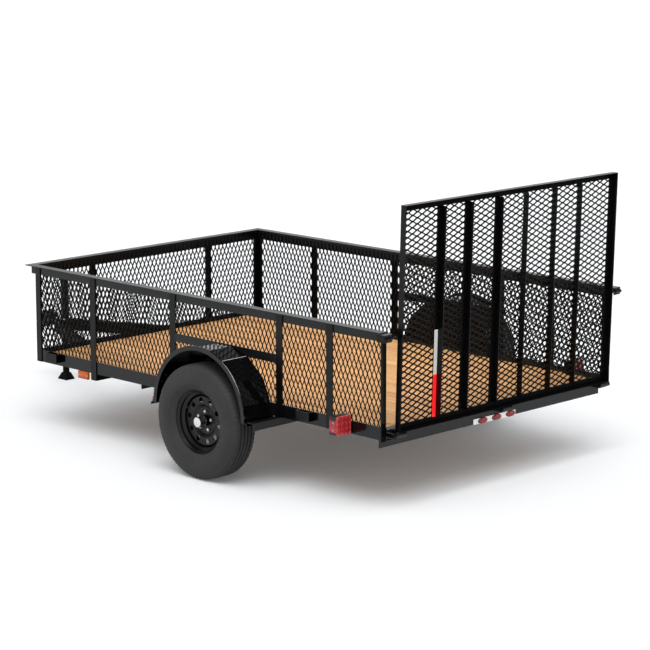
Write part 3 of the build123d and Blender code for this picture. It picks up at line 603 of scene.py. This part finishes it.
def expanded_sheet(verts, faces, place, across, up, size, upright, weight):
    """Expanded steel: strands that meet in long knots, one sheet from a corner along two directions.

    upright sets the diamonds' long way along up instead of along across; weight widens the strands.
    """
    mesh = bpy.context.scene.trailer_mesh
    out = across.cross(up)
    pitch = (mesh.short_way, mesh.long_way) if upright else (mesh.long_way, mesh.short_way)
    half = (pitch[0] / 2, pitch[1] / 2)
    long_dir = Vector((0, 1)) if upright else Vector((1, 0))
    knot = long_dir * (mesh.bond / 2)
    strand = mesh.strand * weight

    def bar(ends, width):
        """One straight strand with a slightly leaning rectangular section."""
        if not ends:
            return
        start, end = ends
        along = Vector((end[0] - start[0], end[1] - start[1])).normalized()
        aside = Vector((-along.y, along.x))
        first = len(verts)
        for spot in ends:
            for w, d in ((-1, -1), (1, -1), (1, 1), (-1, 1)):
                flat = Vector(spot) + aside * (w * width / 2)
                deep = STRAND_DEPTH * (STRAND_HALF * d + STRAND_TILT * w)
                verts.append(place + across * flat.x + up * flat.y + out * deep)
        for k in range(4):
            after = (k + 1) % 4
            faces.append((first + k, first + after, first + 4 + after, first + 4 + k))
        faces.append((first + 3, first + 2, first + 1, first))
        faces.append((first + 4, first + 5, first + 6, first + 7))

    for i in range(-1, int(size[0] / half[0]) + 2):
        for j in range(-1, int(size[1] / half[1]) + 2):
            if (i + j) % 2:
                continue
            spot = Vector((i * half[0], j * half[1]))
            if -1e-6 <= spot.x <= size[0] and -1e-6 <= spot.y <= size[1]:
                bar(clipped(spot - knot, spot + knot, size), strand * KNOT_WIDTH)
            for step in (1, -1):
                other = Vector(((i + 1) * half[0], (j + step) * half[1]))
                toward = knot if (other - spot).dot(long_dir) > 0 else -knot
                reach = toward * KNOT_OVERLAP
                bar(clipped(spot + reach, other - reach, size), strand)


# ---- operators -------------------------------------------------------------------------------
class TRAILER_OT_studio(bpy.types.Operator):
    """Camera, floor, sky and key lamp"""

    bl_idname = "trailer.studio"
    bl_label = "Studio"

    def execute(self, context):
        stage = context.scene.trailer_studio
        lens = bpy.data.cameras.new("camera")
        lens.lens = stage.lens
        lens.sensor_width = 36.0
        lens.clip_start = 0.1
        lens.clip_end = 500.0
        camera = linked("camera", lens)
        camera.location = CAMERA_PLACE
        camera.rotation_euler = (math.pi / 2 + CAMERA_PITCH, 0.0, CAMERA_YAW - math.pi / 2)
        context.scene.camera = camera

        bm = bmesh.new()
        bmesh.ops.create_grid(bm, x_segments=4, y_segments=4, size=FLOOR_HALF)
        sheet = bpy.data.meshes.new("studio_floor")
        bm.to_mesh(sheet)
        bm.free()
        paper_sweep()
        sheet.materials.append(FINISH["paper_sweep"])
        floor = linked("studio_floor", sheet)
        floor.location.z = -FLOOR_DROP

        context.scene.world = soft_room(stage.sky)
        context.scene.view_settings.view_transform = "Standard"
        glow = bpy.data.lights.new("key", "SUN")
        glow.energy = stage.sun
        glow.angle = stage.sun_angle
        linked("key", glow).rotation_euler = KEY_AIM.to_track_quat("-Z", "Y").to_euler()
        return {"FINISHED"}


class TRAILER_OT_finishes(bpy.types.Operator):
    """Paint, metal and plastic on the frame's own parts"""

    bl_idname = "trailer.finishes"
    bl_label = "Finishes"

    def execute(self, context):
        make_finishes()
        # what isn't named here is painted as the frame is
        nodes_of = {
            "fender_gloss": ("fender_left", "fender_right"),
            "chassis_black": ("axle_beam", "leaf_springs", "spring_clamps", "spring_hangers"),
            "wheel_powder": ("rim_left", "rim_right", "hub_left", "hub_right"),
            "mesh_enamel": ("wall_mesh_sides", "wall_mesh_front", "gate_mesh"),
            "pine_plank": ("deck_planks",),
            "road_rubber": ("tyre_left", "tyre_right"),
            "red_acrylic": ("tail_lamps", "sill_lamps"),
            "amber_acrylic": ("marker_lamps",),
            "tape_red": ("gate_tape",),
            "jack_black": ("jack_leg", "tongue_beam", "tongue_legs", "front_sill"),
            "rail_gloss": ("side_rails",),
            # the gate, pockets, front top rail and posts take the gate's darker, duller copy of the enamel,
            # which is painted shade
            "shaded_gate_paint": ("gate_frame", "gate_uprights", "gate_latches", "stake_pockets")
            + ("top_rail_front", "wall_posts", "wall_posts_front"),
        }
        finish_of = {node: finish for finish, nodes in nodes_of.items() for node in nodes}
        for name, _ in SIDES:
            # the sheet's folds are rounded, so each one catches a bright line
            soft = NODES[f"fender_{name}"].modifiers.new("folds", "BEVEL")
            soft.width = 2.5 * MM
            soft.segments = 2
            soft.limit_method = "ANGLE"
            soft.angle_limit = math.radians(14)
            soft.harden_normals = True
        for node, part in NODES.items():
            if not part.material_slots:
                raise RuntimeError(f"{node} has no material slot")
            for holder in part.material_slots:
                holder.material = FINISH[finish_of.get(node, "frame_enamel")]
        return {"FINISHED"}


class TRAILER_OT_mesh_panels(bpy.types.Operator):
    """Expanded steel in the walls and the gate"""

    bl_idname = "trailer.mesh_panels"
    bl_label = "Mesh panels"

    def execute(self, context):
        mesh = context.scene.trailer_mesh
        low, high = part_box("wall_mesh_sides")
        wall = (high.x - low.x - POST_GAP, high.z - low.z)
        # what is seen through the load space is heavier, or its strands are lost against white
        sheets = []
        for side, weight in ((1, 1.0), (-1, mesh.far_weight)):
            corner = Vector((low.x + POST_GAP, side * (high.y - PANEL_THICK / 2), low.z))
            sheets.append((corner, ALONG, UP, wall, True, weight))
        self.panel("side_wall_mesh", "trailer", "wall_mesh_sides", sheets)

        low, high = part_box("wall_mesh_front")
        corner = Vector(((low.x + high.x) / 2, low.y, low.z))
        wall = (high.y - low.y, high.z - low.z)
        sheets = [(corner, ACROSS, UP, wall, True, mesh.far_weight)]
        self.panel("front_wall_mesh", "trailer", "wall_mesh_front", sheets)

        low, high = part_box("gate_mesh")
        lean = Matrix.Rotation(-GATE_LEAN, 3, "Y")
        forward, rise = GATE_MESH_FOOT
        corner = GATE_HINGE + lean @ Vector((forward, -(high.y - low.y) / 2, rise))
        ramp = (high.y - low.y, GATE_MESH_TALL)
        sheets = [(corner, ACROSS, lean @ UP, ramp, False, mesh.gate_weight)]
        self.panel("gate_ramp_mesh", "gate", "gate_mesh", sheets)
        return {"FINISHED"}

    def panel(self, name, body, node, sheets):
        """One piece from sheets of (corner, across, up, size, upright, weight)."""
        verts, faces = [], []
        for sheet in sheets:
            expanded_sheet(verts, faces, *sheet)
        finished(name, (verts, [], faces), body, ["mesh_enamel"], [node])


class TRAILER_OT_deck(bpy.types.Operator):
    """Planks of the deck and the screws that hold them"""

    bl_idname = "trailer.deck"
    bl_label = "Deck"

    def execute(self, context):
        low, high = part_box("deck_planks")
        pitch = (high.y - low.y + PLANK_GAP) / PLANKS
        starts = [low.y + index * pitch for index in range(PLANKS)]
        bm = bmesh.new()
        board = bm.verts.layers.float.new("board")
        chance = random.Random(7)
        for start in starts:
            far = (high.x, start + pitch - PLANK_GAP, high.z)
            verts = slab(bm, (low.x, start, low.z), far, PLANK_EDGE)
            tone = chance.random()
            for vert in verts:
                vert[board] = tone
        finished("deck_boards", bm, "trailer", ["pine_plank"], ["deck_planks"])

        bm = bmesh.new()
        for line in SCREW_LINES:
            for start in starts:
                middle = start + (pitch - PLANK_GAP) / 2
                for aside in (-SCREW_ASIDE, SCREW_ASIDE):
                    head = Vector((line - ORIGIN_X, middle + aside, DECK_TOP - 0.4 * MM))
                    dome(bm, head, UP, 6.0 * MM, 1.4 * MM)
        finished("deck_screws", bm, "trailer", ["zinc"])
        return {"FINISHED"}


class TRAILER_OT_tyres(bpy.types.Operator):
    """Road tyres: ribbed tread, sipes on the shoulders and plain bulged side walls"""

    bl_idname = "trailer.tyres"
    bl_label = "Tyres"

    def execute(self, context):
        # radius and distance out from the tyre's middle, in millimetres
        half = (
            (344.5, 0.0), (344.5, 9.5), (333.0, 10.6), (333.0, 16.6),  # middle rib, inner groove
            (344.4, 17.8), (344.2, 36.0), (332.8, 37.2), (332.8, 43.4),  # second rib, outer groove
            (343.9, 44.6), (343.4, 59.0), (341.5, 68.5), (336.5, 76.0), (330.0, 80.6),  # shoulder
            (321.0, 83.6), (312.0, 86.4), (306.0, 88.4), (305.0, 89.8), (301.5, 90.6), (300.5, 90.2),
            (284.0, 94.4), (268.0, 96.4), (252.0, 96.2), (238.0, 94.0),  # side wall
            (230.0, 91.6), (229.0, 92.4), (225.5, 91.0), (224.5, 89.2),  # rim line
            (212.0, 82.0), (200.0, 72.5), (192.5, 67.0), (192.0, 57.0), (184.0, 53.5), (182.8, 45.5),
        )
        outline = [(r, -y) for r, y in reversed(half[1:])] + list(half)
        for name, side in SIDES:
            bm = bmesh.new()
            centre = Vector((AXLE_X, side * WHEEL_Y, AXLE_Z))
            turn = aimed(centre, Vector((0, side, 0)))
            lathe(bm, [(r * MM, y * MM) for r, y in outline], turn, TYRE_STEPS)
            bm.verts.ensure_lookup_table()
            for ring, (radius, out) in enumerate(outline):
                # sipes cut the shoulder alone
                if radius < 335 or abs(out) < 55:
                    continue
                for step in range(0, TYRE_STEPS, SIPE_EVERY):
                    vert = bm.verts[ring * TYRE_STEPS + step]
                    arm = vert.co - centre
                    arm.y = 0
                    vert.co -= arm.normalized() * SIPE_DEPTH
            finished(
                f"road_tyre_{name}", bm, f"wheel_{name}", ["road_rubber"], [f"tyre_{name}"], 28.0
            )
        return {"FINISHED"}


class TRAILER_OT_hubs(bpy.types.Operator):
    """Hubs with bright nuts, a plated cap and the tyre's valve"""

    bl_idname = "trailer.hubs"
    bl_label = "Hubs"

    def execute(self, context):
        # radius and distance out from the wheel's middle, in millimetres
        hub = ((17.6, -107), (44, -107), (44, -15), (74, -15), (74, -5), (33.5, -5), (33.5, 24))
        cap = ((33.5, 24), (33.5, 25), (33.0, 28), (31.8, 30), (31.0, 68), (29.5, 72.5))
        cap += ((25, 74.4), (8.5, 75), (7.5, 73.6), (0, 73.6))
        valve = ((5.5, 0.0), (5.5, 12.0), (4.0, 13.0), (4.0, 26.0), (0.0, 27.0))
        for name, side in SIDES:
            centre = Vector((AXLE_X, side * WHEEL_Y, AXLE_Z))
            out = Vector((0, side, 0))

            def on_face(angle, radius, height):
                """A point of the wheel's face at an angle from forward."""
                return centre + Vector((math.cos(angle), 0, math.sin(angle))) * radius + out * height

            black, chrome, steel, rubber = range(4)
            stem = on_face(VALVE_TURN, VALVE_REACH, VALVE_OUT)
            bm = bmesh.new()
            turned = ((hub, centre, 48, black), (cap, centre, 48, chrome), (valve, stem, 12, rubber))
            for points, place, steps, finish in turned:
                lathe(bm, [(r * MM, y * MM) for r, y in points], aimed(place, out), steps, finish)
            for index in range(NUTS):
                spot = on_face(FIRST_NUT + index * math.tau / NUTS, BOLT_CIRCLE, HUB_FACE)
                hex_nut(bm, spot, out, 18.5 * MM, 15.0 * MM, steel)
            finishes = ["jack_black", "chrome_cap", "nut_steel", "road_rubber"]
            finished(f"wheel_hub_{name}", bm, f"wheel_{name}", finishes, [f"hub_{name}"])
        return {"FINISHED"}


class TRAILER_OT_lamps(bpy.types.Operator):
    """Tail lamps, sill lamps and side markers"""

    bl_idname = "trailer.lamps"
    bl_label = "Lamps"

    def execute(self, context):
        bm = bmesh.new()
        for _, side in SIDES:
            self.tail_lamp(bm, side)
        finishes = ["red_acrylic", "black_abs", "clear_acrylic", "zinc"]
        finished("tail_lamp_pair", bm, "trailer", finishes, ["tail_lamps"])

        bm = bmesh.new()
        # one pale backing bar carries the three lamps, each in a thin dark gasket
        lens, base, gasket = range(3)
        block(bm, (-5, -190, 364), (0, 182, 396), 1, 2.2, base)
        for y in (105.0, -18.0, -143.0):
            oval(bm, at(-5, y, 380), 41.5, 18.5, 4, gasket)
            oval(bm, at(-7, y, 380), 38, 16.5, 9, lens)
        finishes = ["red_acrylic", "white_base", "black_abs"]
        finished("sill_lamp_row", bm, "trailer", finishes, ["sill_lamps"])

        bm = bmesh.new()
        lens, screw, foot = range(3)
        for _, side in SIDES:
            block(bm, (2508, 966, 366), (2603, 985, 413), side, 3.0, lens)
            for x in (2516.0, 2595.0):
                dome(bm, at(x, 985, 389.5, side), Vector((0, side, 0)), 3 * MM, 1.2 * MM, screw)
            # fender clip lamp: amber lens on a dark foot
            for start, end, finish in ((403, 416, foot), (415, 433, lens)):
                block(bm, (1641, 1157, start), (1664, 1192, end), side, 3.0, finish)
        finishes = ["amber_acrylic", "zinc", "black_abs"]
        finished("side_markers", bm, "trailer", finishes, ["marker_lamps"])
        return {"FINISHED"}

    def tail_lamp(self, bm, side):
        """Housing, rear lens with two raised rings, side lens, and their screws."""
        red, black, clear, bright = range(4)
        out = Vector((0, side, 0))
        block(bm, (222.5, 980, 417), (283, 1090, 525), side, 5, black)
        # the rear lens: a soft frame round a sunk field, about this middle
        y, z = 1036.5, 471
        rear_steps = ((0.0, 0.0), (10.5, 0.0), (12.3, 1.2), (12.9, 3.0), (12.9, 6.5), (11.4, 8.0))
        plate(bm, at(224, y, z, side), REARWARD, 56.0, 55.5, 9.0, rear_steps, red)
        turn = aimed(at(212.6, y, z, side), REARWARD)
        for ring, width in ((40.0, 4.0), (22.0, 3.0)):
            inner = ring - width
            profile = ((inner, -0.5), (inner, 0.8), (ring, 1.4), (ring + 1.0, -0.5))
            lathe(bm, [(r * MM, up * MM) for r, up in profile], turn, 40, red)
        side_steps = ((0.0, 0.0), (4.0, 0.0), (5.0, 1.2), (5.0, 4.0), (4.2, 5.0))
        plate(bm, at(249, 1087.9, 467, side), out, 27.0, 34.0, 6.0, side_steps, red)
        for z in (446, 488):
            dome(bm, at(249, 1091.6, z, side), out, 4.2 * MM, 1.3 * MM, clear)
        for y, z in ((993, 427), (1080, 515)):
            dome(bm, at(211.4, y, z, side), REARWARD, 3.0 * MM, 1.0 * MM, bright)


class TRAILER_OT_fender_highlights(bpy.types.Operator):
    """Painted highlights on each fender: pale strips along its rear fold and the rear of its rolled lip"""

    bl_idname = "trailer.fender_edges"
    bl_label = "Fender highlights"

    def execute(self, context):
        fold = ((0.0, 0.0), (0.0026, 0.001), (0.0026, 0.200), (0.0, 0.201))
        lip_radius, lip_start, lip_sweep, lip_steps = 0.3915, 23.0, 36.0, 24
        thin, swell = 0.0005, 0.0014
        bm = bmesh.new()
        for _, side in SIDES:
            out = Vector((0, side, 0))
            lathe(bm, fold, aimed(Vector((AXLE_X - 0.1908, side * 0.989, 0.7362)), out), 10)
            middle = Vector((AXLE_X, side * 1.2005, 0.406))
            path = []
            for step in range(lip_steps + 1):
                share = step / lip_steps
                angle = math.radians(lip_start + lip_sweep * share)
                arm = Vector((-math.cos(angle), 0, math.sin(angle)))
                thick = thin + swell * math.sin(math.pi * share)
                ring = []
                for k in range(6):
                    turn = math.tau * k / 6
                    spot = arm * (lip_radius + thick * math.cos(turn)) + out * thick * math.sin(turn)
                    ring.append(bm.verts.new(middle + spot))
                path.append(ring)
            skin(bm, path, 0, (path[0], path[-1]))
        finished("fender_painted_highlights", bm, "trailer", ["painted_glint"])
        return {"FINISHED"}


class TRAILER_OT_tape(bpy.types.Operator):
    """Red and white reflective strip on the gate"""

    bl_idname = "trailer.tape"
    bl_label = "Tape"

    def execute(self, context):
        low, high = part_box("gate_tape")
        red, white = range(2)
        bm = bmesh.new()
        for start, end, finish in ((501, 747, red), (747.5, 1006, white)):
            near = (14.4 * MM, low.y, start * MM - GATE_HINGE.z)
            slab(bm, near, (15.0 * MM, high.y, end * MM - GATE_HINGE.z), 0.0, finish)
        lean = Matrix.Translation(GATE_HINGE) @ Matrix.Rotation(-GATE_LEAN, 4, "Y")
        bmesh.ops.transform(bm, matrix=lean, verts=bm.verts)
        finished("gate_reflector", bm, "gate", ["tape_red", "tape_white"], ["gate_tape"])
        return {"FINISHED"}


class TRAILER_OT_fasteners(bpy.types.Operator):
    """Bolts and nuts of the jack, springs and tail lamps' brackets"""

    bl_idname = "trailer.fasteners"
    bl_label = "Fasteners"

    def execute(self, context):
        # places in millimetres, as at() takes them
        jack_x, jack_flange = 3915, 426
        axle_x, spring_y, spring_end, spring_foot = 1250, 945, 972, 272.0
        eye_z, bracket_y = 346.8, 980
        bm = bmesh.new()
        for dx in (-38, 38):
            for dy in (-38, 38):
                hex_nut(bm, at(jack_x + dx, dy, jack_flange), UP, 17 * MM, 8 * MM)
        for _, side in SIDES:
            out = Vector((0, side, 0))
            for eye in (-322, 322):
                hex_nut(bm, at(axle_x + eye, spring_end, eye_z, side), out, 19 * MM, 9 * MM)
            for dx in (-35.3, 35.3):
                for dy in (-28.5, 28.5):
                    foot = at(axle_x + dx, spring_y + dy, spring_foot, side)
                    hex_nut(bm, foot, DOWN, 17 * MM, 10 * MM)
            for x, z in ((240, 500), (260, 440)):
                hex_nut(bm, at(x, bracket_y, z, side), out, 10 * MM, 4 * MM)
        finished("frame_bolts", bm, "trailer", ["zinc"])
        return {"FINISHED"}


class TRAILER_PT_builder(bpy.types.Panel):
    """Lists the pieces of the trailer"""

    bl_idname = "TRAILER_PT_builder"
    bl_label = "Utility trailer"
    bl_space_type = "VIEW_3D"
    bl_region_type = "UI"
    bl_category = "Trailer"

    def draw(self, context):
        for _, setting in GROUPS:
            group = getattr(context.scene, setting)
            box = self.layout.box()
            for name in group.bl_rna.properties.keys():
                if name not in ("rna_type", "name"):
                    box.prop(group, name)
        for operator in OPERATORS:
            self.layout.operator(operator.bl_idname)


GROUPS = (
    (TrailerMesh, "trailer_mesh"),
    (TrailerColours, "trailer_colours"),
    (TrailerStudio, "trailer_studio"),
)
OPERATORS = (
    TRAILER_OT_studio,
    TRAILER_OT_finishes,
    TRAILER_OT_mesh_panels,
    TRAILER_OT_deck,
    TRAILER_OT_tyres,
    TRAILER_OT_hubs,
    TRAILER_OT_lamps,
    TRAILER_OT_fender_highlights,
    TRAILER_OT_tape,
    TRAILER_OT_fasteners,
)


def register():
    for group, name in GROUPS:
        bpy.utils.register_class(group)
        setattr(bpy.types.Scene, name, bpy.props.PointerProperty(type=group))
    for operator in OPERATORS:
        bpy.utils.register_class(operator)
    bpy.utils.register_class(TRAILER_PT_builder)


def unregister():
    bpy.utils.unregister_class(TRAILER_PT_builder)
    for operator in reversed(OPERATORS):
        bpy.utils.unregister_class(operator)
    for group, name in reversed(GROUPS):
        delattr(bpy.types.Scene, name)
        bpy.utils.unregister_class(group)


def main():
    """Builds every piece in order."""
    register()
    for operator in OPERATORS:
        family, call = operator.bl_idname.split(".")
        getattr(getattr(bpy.ops, family), call)()


if __name__ == "__main__":
    main()
